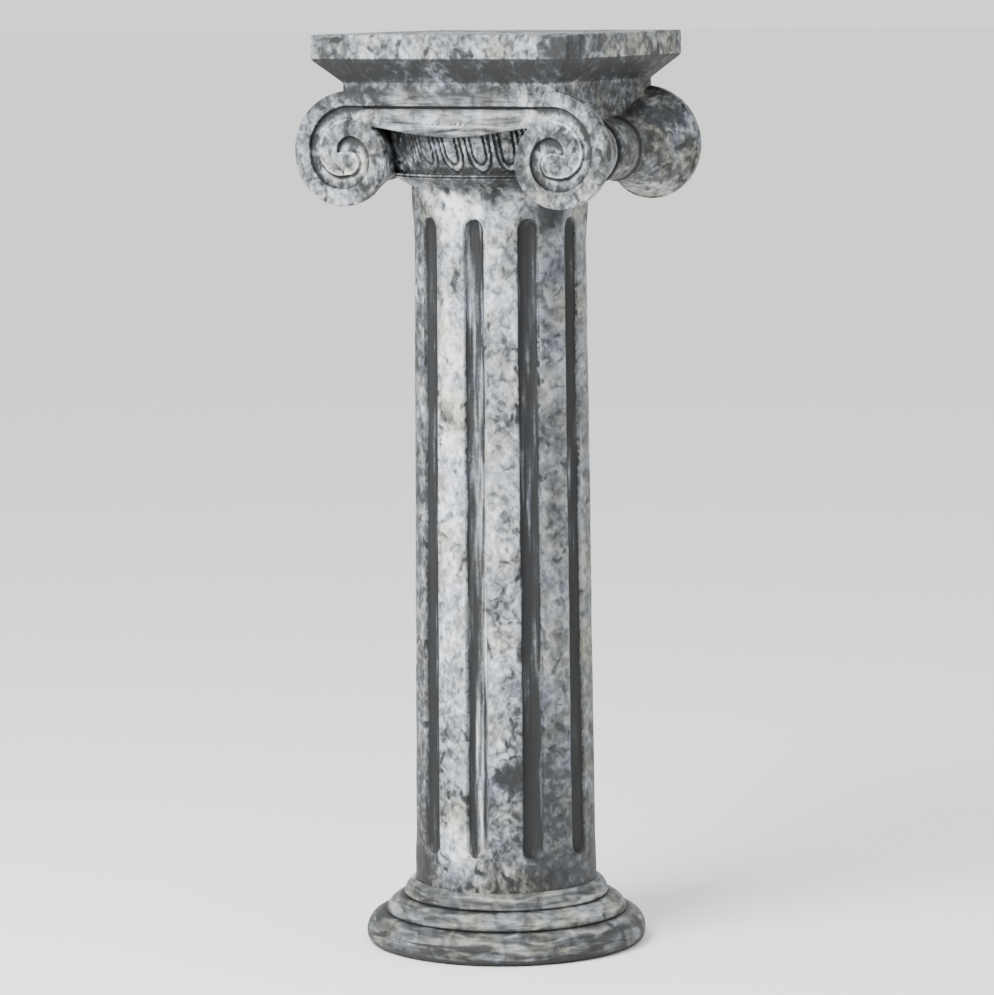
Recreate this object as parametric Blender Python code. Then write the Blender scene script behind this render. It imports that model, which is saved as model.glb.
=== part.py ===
"""Ionic column, about one metre tall, cast in one piece to stand on the floor or carry a bust.

The body is a turned base and fluted shaft. On it sit a ring of eggs and darts, a square block between
two scroll plates, a bolster on each side that runs from the front scroll to the back one, and a square
top slab. All of them are united into one closed casting. The spiral channel of each scroll plate is
cut by one swept cutter. Everything is in metres, +Z up, standing on z = 0 with the axis at x = y = 0.
Angles around the axis are measured from the front (-Y) towards +X.
"""

import math

import bmesh
import bpy

# Overall
HEIGHT = 1.000               # floor to the flat top

# Top slab and the block under it
SLAB_HALF = 0.1516           # half the side of the square top
SLAB_EDGE = 0.0268           # height of the upright edge of the slab
SLAB_SLOPE = 0.0247          # height of the slope from the edge in to the block
SLAB_ROUND = 0.0025          # rounding of the slab's arrises
BLOCK_HALF = 0.1267          # half the side of the block, and where the scroll faces stand
CORNER_ROUND = 0.0030        # rounding of the upright corners

# Scrolls
SCROLL_X = 0.1234            # the spiral's centre, from the axis
SCROLL_DROP = 0.1298         # the spiral's centre, below the top
SPIRAL_START = 0.0693        # radius of the outer edge where the spiral leaves the top band
SPIRAL_STEP = 0.0307         # how far the outer edge comes in over one turn
EYE_RADIUS = 0.0152          # the round end in the middle
EYE_BLEND = 0.0060           # how softly the spiral runs into the eye
BAND_WIDTH = 0.0179          # flat band along the outer edge
PLATE_THICKNESS = 0.0100     # the scroll plate, before the bolster starts
CHANNEL_DEPTH = 0.0060       # the channel between the bands
CHANNEL_WALL = 0.0016        # how far the channel's walls lean in
CHANNEL_TURNS = 1.14         # where the channel runs out beside the eye
FILLET_TOP = 0.0949          # top edge of the sagging fillet at the middle, below the top
FILLET_BOTTOM = 0.1065       # its lower edge at the middle, below the top
FILLET_SAG = 0.0083          # how far the lower edge sags between the scrolls
FILLET_TOP_SAG = 0.0056      # how far its top edge sags
FILLET_REACH = 0.0800        # half the length over which it sags
FILLET_TURN = 0.875          # the place on the spiral where the fillet meets it

# Bolsters
BOLSTER_RIM = 0.97           # size of the bolster at the plate, as a share of the scroll
BOLSTER_NECK = 0.50          # its size beside the belt
BOLSTER_BELT = 0.54          # its size on the belt
BOLSTER_BEAD = 0.58          # its size on the beads that edge the belt
BELT_HALF = 0.0300           # half the width of the belt, beads included
BEAD_WIDTH = 0.0060          # width of a bead
PLATE_LAP = 0.0040           # how far the bolster reaches into the plate

# Egg moulding
EGGS = 24
EGG_TOP_RADIUS = 0.1252      # outer radius under the fillet
EGG_FOOT_RADIUS = 0.1142     # outer radius at the beads
EGG_RELIEF = 0.0032          # how far the eggs stand out from the darts
EGGS_SHOWN = 7               # eggs carved on each face; the rest of the ring is under the bolsters
EGG_BAND_FOOT = 0.1440       # foot of the eggs, below the top
BEAD_BAND = 0.0090           # height of the two beads under the eggs
CONE_DROP = 0.0142           # height of the slope from the beads in to the shaft
MOULDING_LAP = 0.0200        # how far the moulding reaches into the shaft and into the block

# Shaft
SHAFT_FOOT_RADIUS = 0.1003   # at the base
SHAFT_NECK_RADIUS = 0.0943   # at the narrowest place, near the capital
SHAFT_TOP_RADIUS = 0.0963    # where it flares under the capital
FLARE_HEIGHT = 0.0700        # height over which it flares
SHAFT_TOP_DROP = 0.1300      # how far below the top the turned body ends, inside the capital

# Flutes
FLUTES = 10
FLUTE_TURN = math.radians(7.5)         # angle of the first flute from the front
FLUTE_HALF_ANGLE = math.radians(7.0)   # half of a flute's width
FLUTE_DEPTH = 0.0085
FLUTE_END = 0.0130                     # length of the rounded end
FLUTE_FOOT_GAP = 0.0360                # plain shaft between the base and the flutes
FLUTE_TOP_DROP = 0.1970                # top of the flutes, below the top

# Base rings, from the floor up: height, and radius where the ring above starts
TORUS_RADIUS = 0.1545
TORUS_EQUATOR = 0.0105       # height of its widest place
TORUS_FOOT_ROUND = 0.0035    # how far the foot tucks in at the floor
TORUS_HEIGHT = 0.0343
MIDDLE_RADIUS = 0.1333
MIDDLE_HEIGHT = 0.0184
UPPER_RADIUS = 0.1129
UPPER_HEIGHT = 0.0169
GROOVE = 0.0012              # depth of the groove between two rings
TORUS_FULLNESS = 2.2         # 2 is a quarter ellipse, 1 a straight slope
RING_FULLNESS = 1.7

# Fineness of the facets
SCROLL_SIDES = 24            # facets in one turn of the spiral
RING_STEPS = 4               # facets over a ring's round
FLUTE_STEPS = 4              # facets across a flute
LAND_STEPS = 3               # facets across the land between two flutes
EGG_STEPS = 6                # facets across an egg and its dart
EGG_ROWS = 6                 # facets over the height of the eggs
BOLSTER_ROWS = 4             # facets along the taper of a bolster
FILLET_STEPS = 6             # facets along half the fillet


def clear_scene():
    """Remove whatever the file already holds."""
    for thing in list(bpy.data.objects):
        bpy.data.objects.remove(thing, do_unlink=True)


def painted_plaster():
    """The casting's paint: mid grey stone colours with a soft satin sheen."""
    material = bpy.data.materials.new("painted_cast_plaster")
    material.use_nodes = True
    shader = material.node_tree.nodes["Principled BSDF"]
    shader.inputs["Base Color"].default_value = (0.235, 0.245, 0.250, 1.0)
    shader.inputs["Roughness"].default_value = 0.55
    shader.inputs["Metallic"].default_value = 0.0
    return material


def smoothstep(value):
    """Rise from 0 to 1 with level ends."""
    value = min(max(value, 0.0), 1.0)
    return value * value * (3.0 - 2.0 * value)


def add_loft(name, rings):
    """Close a row of rings, each with as many points, into one solid with flat ends."""
    mesh = bpy.data.meshes.new(name)
    body = bmesh.new()
    rows = [[body.verts.new(point) for point in ring] for ring in rings]
    count = len(rings[0])
    for lower, upper in zip(rows, rows[1:]):
        for i in range(count):
            j = (i + 1) % count
            body.faces.new((lower[i], lower[j], upper[j], upper[i]))
    body.faces.new(list(reversed(rows[0])))
    body.faces.new(rows[-1])
    bmesh.ops.recalc_face_normals(body, faces=body.faces)
    body.to_mesh(mesh)
    body.free()
    thing = bpy.data.objects.new(name, mesh)
    bpy.context.scene.collection.objects.link(thing)
    return thing


def at_angle(radius, angle, z):
    """A point at a radius and an angle around the axis, the front being angle 0."""
    return (radius * math.sin(angle), -radius * math.cos(angle), z)


# Base and shaft

def ring_profile(foot_z, height, outer, inner, fullness):
    """Radius and height along a ring's round, from its widest place up to the groove above it."""
    points = []
    for step in range(RING_STEPS + 1):
        angle = step / RING_STEPS * math.pi / 2
        along = math.cos(angle) ** (2 / fullness)
        up = math.sin(angle) ** (2 / fullness)
        points.append((inner + (outer - inner) * along, foot_z + height * up))
    return points


def base_profile():
    """The three rings, from the floor up to the foot of the shaft."""
    middle_z = TORUS_HEIGHT
    upper_z = TORUS_HEIGHT + MIDDLE_HEIGHT
    profile = [
        (TORUS_RADIUS - TORUS_FOOT_ROUND, 0.0),
        (TORUS_RADIUS - TORUS_FOOT_ROUND * 0.3, TORUS_EQUATOR * 0.35),
    ]
    rounds = (
        (TORUS_EQUATOR, middle_z - GROOVE, TORUS_RADIUS, MIDDLE_RADIUS - GROOVE, TORUS_FULLNESS),
        (middle_z, upper_z - GROOVE, MIDDLE_RADIUS, UPPER_RADIUS - GROOVE, RING_FULLNESS),
        (upper_z, shaft_foot_z(), UPPER_RADIUS, SHAFT_FOOT_RADIUS, RING_FULLNESS),
    )
    for foot_z, head_z, outer, inner, fullness in rounds:
        profile += ring_profile(foot_z, head_z - foot_z, outer, inner, fullness)
    return profile


def shaft_foot_z():
    """Height where the shaft leaves the upper ring."""
    return TORUS_HEIGHT + MIDDLE_HEIGHT + UPPER_HEIGHT


def moulding_foot_z():
    """Height where the slope under the beads meets the shaft."""
    return HEIGHT - EGG_BAND_FOOT - BEAD_BAND - CONE_DROP


def shaft_radius(z):
    """A straight taper from the base to the neck, and a flare under the capital."""
    neck_z = moulding_foot_z() - FLARE_HEIGHT
    share = (z - shaft_foot_z()) / (neck_z - shaft_foot_z())
    radius = SHAFT_FOOT_RADIUS + (SHAFT_NECK_RADIUS - SHAFT_FOOT_RADIUS) * min(max(share, 0.0), 1.0)
    flare = smoothstep((z - neck_z) / FLARE_HEIGHT)
    return radius + (SHAFT_TOP_RADIUS - SHAFT_NECK_RADIUS) * flare


def flute_cut(angle, z):
    """Depth of the flute at a place: half an ellipse across, with half-round ends."""
    pitch = 2 * math.pi / FLUTES
    across = (angle - FLUTE_TURN + pitch / 2) % pitch - pitch / 2
    across = across / FLUTE_HALF_ANGLE
    foot = shaft_foot_z() + FLUTE_FOOT_GAP
    top = HEIGHT - FLUTE_TOP_DROP
    beyond = max(foot + FLUTE_END - z, z - (top - FLUTE_END), 0.0) / FLUTE_END
    return FLUTE_DEPTH * math.sqrt(max(1.0 - across ** 2 - beyond ** 2, 0.0))


def shaft_angles():
    """Angles with an edge on every arris of every flute."""
    angles = []
    pitch = 2 * math.pi / FLUTES
    land = pitch - 2 * FLUTE_HALF_ANGLE
    for flute in range(FLUTES):
        start = FLUTE_TURN + flute * pitch - FLUTE_HALF_ANGLE
        for step in range(FLUTE_STEPS):
            turn = -math.cos(math.pi * step / FLUTE_STEPS)
            angles.append(start + FLUTE_HALF_ANGLE * (1.0 + turn))
        for step in range(LAND_STEPS):
            angles.append(start + 2 * FLUTE_HALF_ANGLE + land * step / LAND_STEPS)
    return angles


def shaft_levels():
    """Heights of the shaft's rows, close together at the ends of the flutes and in the flare."""
    foot = shaft_foot_z() + FLUTE_FOOT_GAP
    top = HEIGHT - FLUTE_TOP_DROP
    end_steps = (0.0, 0.13, 0.5, 1.0)
    levels = [foot + FLUTE_END * step for step in end_steps]
    levels += [foot + (top - foot) * share for share in (0.35, 0.68)]
    levels += [top - FLUTE_END * step for step in reversed(end_steps)]
    levels += [top + (moulding_foot_z() - top) * share for share in (0.5, 1.0)]
    levels.append(HEIGHT - SHAFT_TOP_DROP)
    return levels


def add_shaft():
    """The turned base and the fluted shaft, up to the hidden end inside the capital."""
    angles = shaft_angles()
    rings = [[at_angle(radius, angle, z) for angle in angles] for radius, z in base_profile()]
    for z in shaft_levels():
        rings.append([at_angle(shaft_radius(z) - flute_cut(angle, z), angle, z) for angle in angles])
    return add_loft("ionic_column", rings)


# Egg moulding

def egg_relief(angle, up):
    """How far the surface stands out from the darts, up being 0 at the eggs' foot and 1 at their top.

    Between the scrolls, front and back, each egg is half an ellipse across and has a round foot. The
    ring that goes under the bolsters is plain.
    """
    from_face = abs((angle + math.pi / 2) % math.pi - math.pi / 2)
    pitch = 2 * math.pi / EGGS
    if from_face > EGGS_SHOWN * pitch / 2:
        return EGG_RELIEF
    across = abs((from_face + pitch / 2) % pitch - pitch / 2) / (pitch / 2)
    round_foot = math.sqrt(1.0 - (1.0 - min(up / 0.45, 1.0)) ** 2)
    reach = across / max(0.86 * round_foot, 0.001)
    return EGG_RELIEF * math.sqrt(max(1.0 - reach ** 2, 0.0))


def moulding_rings():
    """Rings of the moulding: a foot inside the shaft, the slope, two beads, then the eggs."""
    foot = HEIGHT - EGG_BAND_FOOT
    bead_foot = foot - BEAD_BAND
    hidden = SHAFT_TOP_RADIUS - EGG_RELIEF
    plain = [
        (hidden, moulding_foot_z() - MOULDING_LAP),
        (hidden, moulding_foot_z()),
        (EGG_FOOT_RADIUS, bead_foot),
        (EGG_FOOT_RADIUS + GROOVE, bead_foot + BEAD_BAND * 0.25),
        (EGG_FOOT_RADIUS, bead_foot + BEAD_BAND * 0.5),
        (EGG_FOOT_RADIUS + GROOVE, bead_foot + BEAD_BAND * 0.75),
    ]
    steps = EGGS * EGG_STEPS
    angles = [2 * math.pi * step / steps for step in range(steps)]
    rings = [[at_angle(radius, angle, z) for angle in angles] for radius, z in plain]
    height = block_foot_z() + MOULDING_LAP - foot
    for row in range(EGG_ROWS + 1):
        up = row / EGG_ROWS
        swell = math.sin(up * math.pi / 2)
        radius = EGG_FOOT_RADIUS + (EGG_TOP_RADIUS - EGG_FOOT_RADIUS) * swell - EGG_RELIEF
        z = foot + height * up
        rings.append([at_angle(radius + egg_relief(angle, up), angle, z) for angle in angles])
    return rings


# Block and top slab

def block_foot_z():
    """Height of the block's hidden underside, just above the highest part of the fillet's edge."""
    return fillet_foot(FILLET_REACH) + 0.0005


def square_ring(half, z):
    """A square with rounded corners."""
    points = []
    for corner in range(4):
        turn = math.pi / 2 * corner
        for step in range(3):
            angle = turn + math.pi / 4 * step
            x = (half - CORNER_ROUND) * (1 if corner in (0, 3) else -1)
            y = (half - CORNER_ROUND) * (1 if corner in (0, 1) else -1)
            points.append((x + CORNER_ROUND * math.cos(angle), y + CORNER_ROUND * math.sin(angle), z))
    return points


def block_rings():
    """The block, the slope out to the slab, and the slab's edge."""
    edge_z = HEIGHT - SLAB_EDGE
    block_z = edge_z - SLAB_SLOPE
    face_gap = 0.0004
    half = BLOCK_HALF - face_gap
    lean = SLAB_ROUND / math.sqrt(2)
    return [
        square_ring(half, block_foot_z()),
        square_ring(half, block_z),
        square_ring(SLAB_HALF - lean, edge_z - lean),
        square_ring(SLAB_HALF, edge_z + SLAB_ROUND),
        square_ring(SLAB_HALF, HEIGHT - SLAB_ROUND),
        square_ring(SLAB_HALF - SLAB_ROUND, HEIGHT),
    ]


# Scrolls

def spiral_edge(turns):
    """Radius of the scroll's outer edge: it comes in evenly and settles on the round eye."""
    free = SPIRAL_START - SPIRAL_STEP * turns
    return 0.5 * (free + EYE_RADIUS + math.sqrt((free - EYE_RADIUS) ** 2 + EYE_BLEND ** 2))


def scroll_point(radius, turns, side, y):
    """A point by its radius and its turns from the top, running outwards first."""
    angle = 2 * math.pi * turns
    x = SCROLL_X + radius * math.sin(angle)
    return (side * x, y, HEIGHT - SCROLL_DROP + radius * math.cos(angle))


def fillet_foot(x):
    """Height of the fillet's lower edge."""
    return HEIGHT - FILLET_BOTTOM + FILLET_SAG * smoothstep(abs(x) / FILLET_REACH)


def fillet_head(x):
    """Height of the fillet's top edge, which is the lower edge of the channel."""
    sagging = HEIGHT - FILLET_TOP + FILLET_TOP_SAG * smoothstep(abs(x) / FILLET_REACH)
    scroll = HEIGHT - SCROLL_DROP + spiral_edge(1.0)
    share = smoothstep((abs(x) - FILLET_REACH) / (SCROLL_X - FILLET_REACH))
    return sagging + (scroll - sagging) * share


def scroll_outline():
    """The face's outline: over one scroll, along the fillet and back over the other scroll."""
    last = round(FILLET_TURN * SCROLL_SIDES)
    right = [scroll_point(spiral_edge(i / SCROLL_SIDES), i / SCROLL_SIDES, 1, 0) for i in range(last + 1)]
    reach = right[-1][0]
    fillet = []
    for step in range(1, 2 * FILLET_STEPS):
        x = reach * (1 - step / FILLET_STEPS)
        fillet.append((x, 0, fillet_foot(x)))
    left = [(-x, y, z) for x, y, z in reversed(right)]
    return right + fillet + left


def plate_rings(side):
    """One scroll plate, flat in front and behind. side is -1 for the front, 1 for the back."""
    outer = side * BLOCK_HALF
    inner = side * (BLOCK_HALF - PLATE_THICKNESS)
    return [[(x, y, z) for x, _, z in scroll_outline()] for y in (inner, outer)]


def channel_rings(side):
    """The cutter of one face's channel, from the end of one spiral to the end of the other."""
    spiral = [i / SCROLL_SIDES for i in range(round(CHANNEL_TURNS * SCROLL_SIDES) + 1)]
    rings = [spiral_channel_section(turns, 1, side) for turns in reversed(spiral)]
    for step in range(1, 2 * FILLET_STEPS):
        rings.append(straight_channel_section(SCROLL_X * (1 - step / FILLET_STEPS), side))
    rings += [spiral_channel_section(turns, -1, side) for turns in spiral]
    return rings


def channel_section(outer, inner, side):
    """Four corners of the channel's section: place across the band, and depth."""
    face = side * BLOCK_HALF
    return [
        (outer + CHANNEL_WALL * 0.5, face + side * CHANNEL_DEPTH * 0.5),
        (inner - CHANNEL_WALL * 0.5, face + side * CHANNEL_DEPTH * 0.5),
        (inner + CHANNEL_WALL, face - side * CHANNEL_DEPTH),
        (outer - CHANNEL_WALL, face - side * CHANNEL_DEPTH),
    ]


def spiral_channel_section(turns, scroll_side, side):
    """The section across a spiral, where the next turn's edge is the channel's inner side."""
    outer = spiral_edge(turns) - BAND_WIDTH
    inner = min(spiral_edge(turns + 1), outer - 2.5 * CHANNEL_WALL)
    section = channel_section(outer, inner, side)
    return [scroll_point(radius, turns, scroll_side, y) for radius, y in section]


def straight_channel_section(x, side):
    """The section between the scrolls, from the top band down to the fillet."""
    upper = HEIGHT - SCROLL_DROP + spiral_edge(0) - BAND_WIDTH
    return [(x, y, z) for z, y in channel_section(upper, fillet_head(x), side)]


# Bolsters

def bolster_stations():
    """Depth and size along half a bolster, from the front plate to the middle."""
    start = BLOCK_HALF - PLATE_LAP
    taper = BLOCK_HALF - PLATE_THICKNESS
    neck = BELT_HALF
    stations = [(start, BOLSTER_RIM)]
    for step in range(BOLSTER_ROWS + 1):
        share = step / BOLSTER_ROWS
        size = BOLSTER_RIM + (BOLSTER_NECK - BOLSTER_RIM) * share
        stations.append((taper + (neck - taper) * share, size))
    stations.append((BELT_HALF - BEAD_WIDTH * 0.15, BOLSTER_BEAD))
    stations.append((BELT_HALF - BEAD_WIDTH * 0.85, BOLSTER_BEAD))
    stations.append((BELT_HALF - BEAD_WIDTH, BOLSTER_BELT))
    return stations


def bolster_rings(side):
    """A spool between the two plates, its section a smaller copy of the scroll's outline."""
    half = bolster_stations()
    stations = [(-depth, size) for depth, size in half] + [(depth, size) for depth, size in reversed(half)]
    rings = []
    for y, size in stations:
        ring = []
        for i in range(SCROLL_SIDES):
            turns = i / SCROLL_SIDES
            close = smoothstep((turns - FILLET_TURN) / (1 - FILLET_TURN))
            radius = spiral_edge(turns) + (spiral_edge(0) - spiral_edge(turns)) * close
            ring.append(scroll_point(radius * size, turns, side, y))
        rings.append(ring)
    return rings


# Assembly of the casting

def combine(body, tool, operation):
    """Unite a form with the casting or cut it out, and keep the form as a hidden guide."""
    tool.display_type = 'WIRE'
    tool.hide_render = True
    step = body.modifiers.new(tool.name, 'BOOLEAN')
    step.operation = operation
    step.solver = 'EXACT'
    step.object = tool


def main():
    clear_scene()
    body = add_shaft()
    body.data.materials.append(painted_plaster())
    forms = {
        "egg_moulding": moulding_rings(),
        "block_and_slab": block_rings(),
        "right_bolster": bolster_rings(1),
        "left_bolster": bolster_rings(-1),
        "front_scrolls": plate_rings(-1),
        "back_scrolls": plate_rings(1),
    }
    for name, rings in forms.items():
        combine(body, add_loft(name, rings), 'UNION')
    for name, side in (("front_channel", -1), ("back_channel", 1)):
        combine(body, add_loft(name, channel_rings(side)), 'DIFFERENCE')


main()
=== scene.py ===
# %% [markdown]
# # A painted ionic column
# The object is a decorative ionic column, about a metre tall, cast in one piece and painted by hand to
# look like weathered marble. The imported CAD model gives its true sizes. This lesson builds a finer
# surface of the same form around it, paints it with nodes and lights it as for a product photograph.

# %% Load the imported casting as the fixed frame
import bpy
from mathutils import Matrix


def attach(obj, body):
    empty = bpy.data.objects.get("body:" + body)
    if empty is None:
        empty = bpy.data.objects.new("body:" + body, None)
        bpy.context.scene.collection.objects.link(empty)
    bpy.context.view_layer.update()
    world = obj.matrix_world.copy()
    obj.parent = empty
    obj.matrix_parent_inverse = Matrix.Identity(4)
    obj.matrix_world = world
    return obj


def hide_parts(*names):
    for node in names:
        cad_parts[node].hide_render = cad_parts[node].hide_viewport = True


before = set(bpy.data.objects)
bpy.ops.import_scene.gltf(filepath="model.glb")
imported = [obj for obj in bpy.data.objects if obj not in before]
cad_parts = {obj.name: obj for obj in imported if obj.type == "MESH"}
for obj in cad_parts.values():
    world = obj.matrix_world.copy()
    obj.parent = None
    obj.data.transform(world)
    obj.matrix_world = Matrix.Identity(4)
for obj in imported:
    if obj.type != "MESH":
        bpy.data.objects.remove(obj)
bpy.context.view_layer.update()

# %% [markdown]
# ## Sizes
# The fine surface has to lie where the solid lies, so it repeats the solid's driving sizes. They are in
# metres, +Z is up, the column stands on z = 0 and its front looks towards -Y. A size that belongs to one
# form only is given where that form is built.

# %% Sizes shared by several forms
import math

import bmesh
import bpy
import numpy as np
from mathutils import Matrix

HEIGHT = 1.000
BLOCK_HALF = 0.1267          # half the side of the square block, and where the scroll faces stand
SCROLL_X = 0.1234            # the spiral's centre, from the axis
SCROLL_Z = 0.8702            # its height
SPIRAL_START = 0.0693        # radius of the outer edge where the spiral leaves the top band
SPIRAL_STEP = 0.0307         # how far the edge comes in over one turn
SHAFT_FOOT_Z = 0.0696        # where the shaft leaves the base
SHAFT_TOP_Z = 0.8346         # where it meets the slope under the eggs
TURN = 2 * math.pi

# %% [markdown]
# ## From arrays to meshes
# Every form here is a surface over two parameters, such as angle and height. numpy works out all its
# points at once, and one helper joins neighbours on the grid with four-sided faces. Writing the arrays
# straight into the mesh is far quicker than adding vertices one by one.

# %% Helpers for grids
def smoothstep(value):
    """3v² - 2v³ with v held between 0 and 1: a rise from 0 to 1 with level ends."""
    value = np.clip(value, 0.0, 1.0)
    return value * value * (3.0 - 2.0 * value)


def grid_faces(rows, columns, closed):
    """Index quads of a grid of rows x columns points; closed joins the last column to the first."""
    index = np.arange(rows * columns).reshape(rows, columns)
    if closed:
        index = np.concatenate([index, index[:, :1]], axis=1)
    corners = (index[:-1, :-1], index[:-1, 1:], index[1:, 1:], index[1:, :-1])
    return np.stack(corners, axis=-1).reshape(-1, 4)


def new_piece(name, points, faces):
    """Put points and faces into a new object in the scene."""
    mesh = bpy.data.meshes.new(name)
    mesh.from_pydata(points, [], faces)
    piece = bpy.data.objects.new(name, mesh)
    bpy.context.scene.collection.objects.link(piece)
    return piece


def lofted(name, rings):
    """A closed solid from rings of points, shaped (rings, points, 3), with a flat cap on both ends."""
    rows, columns = rings.shape[:2]
    faces = grid_faces(rows, columns, closed=True).tolist()
    faces.append(list(range(columns))[::-1])
    faces.append(list(range((rows - 1) * columns, rows * columns)))
    piece = new_piece(name, rings.reshape(-1, 3), faces)
    tidy = bmesh.new()
    tidy.from_mesh(piece.data)
    bmesh.ops.recalc_face_normals(tidy, faces=tidy.faces)
    tidy.to_mesh(piece.data)
    tidy.free()
    print(name, len(piece.data.vertices), "points")
    return piece


def turned(radius, angle, z):
    """Points on a lathe: radius and height along the profile, angle measured from the front."""
    radius, angle, z = np.broadcast_arrays(radius, angle, z)
    return np.stack([radius * np.sin(angle), -radius * np.cos(angle), z], axis=-1)


# %% [markdown]
# ## Base and fluted shaft
# On the real column the three base rings and the shaft are one turned form with ten flutes pressed into
# it. A Screw modifier with boolean flutes would leave knife-sharp arrises. Instead the radius is one
# function of angle and height: a turned profile less the depth of the flute. The flute is half an ellipse
# across with round ends, and a soft floor under the square root rounds the arris as plaster does.

# %% Profile of the base and the shaft
SHAFT_FOOT = 0.1003
SHAFT_NECK = 0.0943          # the narrowest radius, near the capital
SHAFT_TOP = 0.0963
FLARE = 0.0700               # height over which the shaft widens again
TORUS_Z, MIDDLE_Z = 0.0343, 0.0527
GROOVE = 0.0012


def ring_round(foot_z, head_z, outer, inner, fullness, steps=14):
    """A quarter of a superellipse from the widest place up to the groove: fullness 2 is round."""
    angle = np.linspace(0, math.pi / 2, steps)
    along = np.cos(angle).clip(0) ** (2 / fullness)
    up = np.sin(angle).clip(0) ** (2 / fullness)
    return np.stack([inner + (outer - inner) * along, foot_z + (head_z - foot_z) * up], axis=-1)


def shaft_radius(z):
    """A straight taper up to the neck, then a smoothstep flare under the capital."""
    neck_z = SHAFT_TOP_Z - FLARE
    share = np.clip((z - SHAFT_FOOT_Z) / (neck_z - SHAFT_FOOT_Z), 0, 1)
    flare = smoothstep((z - neck_z) / FLARE)
    return SHAFT_FOOT + (SHAFT_NECK - SHAFT_FOOT) * share + (SHAFT_TOP - SHAFT_NECK) * flare


foot = np.array([[0.1478, 0.0], [0.1502, 0.0009], [0.1521, 0.0026], [0.1537, 0.0056]])
base_profile = np.concatenate([
    foot,
    ring_round(0.0105, TORUS_Z - GROOVE, 0.1545, 0.1333 - GROOVE, 2.2, 22),
    ring_round(TORUS_Z, MIDDLE_Z - GROOVE, 0.1333, 0.1129 - GROOVE, 1.7),
    ring_round(MIDDLE_Z, SHAFT_FOOT_Z, 0.1129, SHAFT_FOOT, 1.7),
])
print("base profile:", len(base_profile), "points up to z", round(base_profile[-1, 1], 4))

# %% The flutes as a depth over angle and height
FLUTES = 10
FLUTE_TURN = math.radians(7.5)
FLUTE_HALF = math.radians(7.0)
FLUTE_DEPTH = 0.0085
FLUTE_END = 0.0130
FLUTE_FOOT_Z = 0.1056
FLUTE_HEAD_Z = 0.8030


def flute_share(angle, z):
    """Depth of a flute from 0 to 1: sqrt(1 - across² - beyond²), with the root's floor softened."""
    pitch = TURN / FLUTES
    across = ((angle - FLUTE_TURN + pitch / 2) % pitch - pitch / 2) / FLUTE_HALF
    below = FLUTE_FOOT_Z + FLUTE_END - z
    above = z - (FLUTE_HEAD_Z - FLUTE_END)
    beyond = np.maximum(np.maximum(below, above), 0) / FLUTE_END
    inside = 1 - across ** 2 - beyond ** 2
    softened = 0.5 * (inside + np.sqrt(inside ** 2 + 0.0006))
    return np.sqrt(softened) * smoothstep((1.45 - across ** 2 - beyond ** 2) / 0.4)


across_steps = np.array([0, 0.28, 0.52, 0.7, 0.83, 0.92, 0.975, 1.02, 1.08, 1.18])
across_steps = np.concatenate([-across_steps[:0:-1], across_steps])
land_steps = np.linspace(8.6, 27.4, 8) / 7.0
one_pitch = np.concatenate([across_steps, land_steps]) * FLUTE_HALF
shaft_angles = (FLUTE_TURN + np.arange(FLUTES)[:, None] * TURN / FLUTES + one_pitch).ravel()

end_steps = np.array([1.18, 1.08, 1.02, 0.975, 0.92, 0.83, 0.7, 0.52, 0.28, 0]) * FLUTE_END
shaft_levels = np.concatenate([
    np.linspace(SHAFT_FOOT_Z + 0.004, FLUTE_FOOT_Z - 0.006, 5),
    FLUTE_FOOT_Z + FLUTE_END - end_steps,
    np.linspace(FLUTE_FOOT_Z + FLUTE_END, FLUTE_HEAD_Z - FLUTE_END, 34)[1:-1],
    FLUTE_HEAD_Z - FLUTE_END + end_steps[::-1],
    np.linspace(FLUTE_HEAD_Z + 0.006, SHAFT_TOP_Z + 0.02, 6),
])
print(len(shaft_angles), "angles by", len(shaft_levels), "levels on the shaft")

# %% Turn the base and shaft
base_rings = turned(base_profile[:, :1], shaft_angles[None], base_profile[:, 1:])
levels = shaft_levels[:, None]
cut = FLUTE_DEPTH * flute_share(shaft_angles[None], levels)
shaft_rings = turned(shaft_radius(levels) - cut, shaft_angles[None], levels)
column = lofted("painted_column", np.concatenate([base_rings, shaft_rings]))

# %% [markdown]
# ## Egg and dart ring
# Between the scrolls a ring of eggs shows under the sagging fillet. Each egg lies in a U-shaped shell,
# and a dart stands between one shell and the next. Carved by hand in the mould, it is a low relief cut
# by narrow grooves, so it is one more height field: the distance to an ellipse places the grooves, and
# the same function serves every motif by folding the angle into one pitch.

# %% Relief of the eggs
EGG_PITCH = TURN / 24
EGG_FOOT_Z = 0.8508
EGG_HEAD_Z = 0.9150
CONE_TOP_Z = 0.8462
EGG_RELIEF = 0.0034
EGG_LEAN = 1.6               # radians a metre: the carver's eggs lean a little


def ridge(distance, half_width):
    """A round-topped ridge: 1 on the line, 0 at half_width from it."""
    return np.sqrt(np.clip(1 - (distance / half_width) ** 2, 0, 1))


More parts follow.
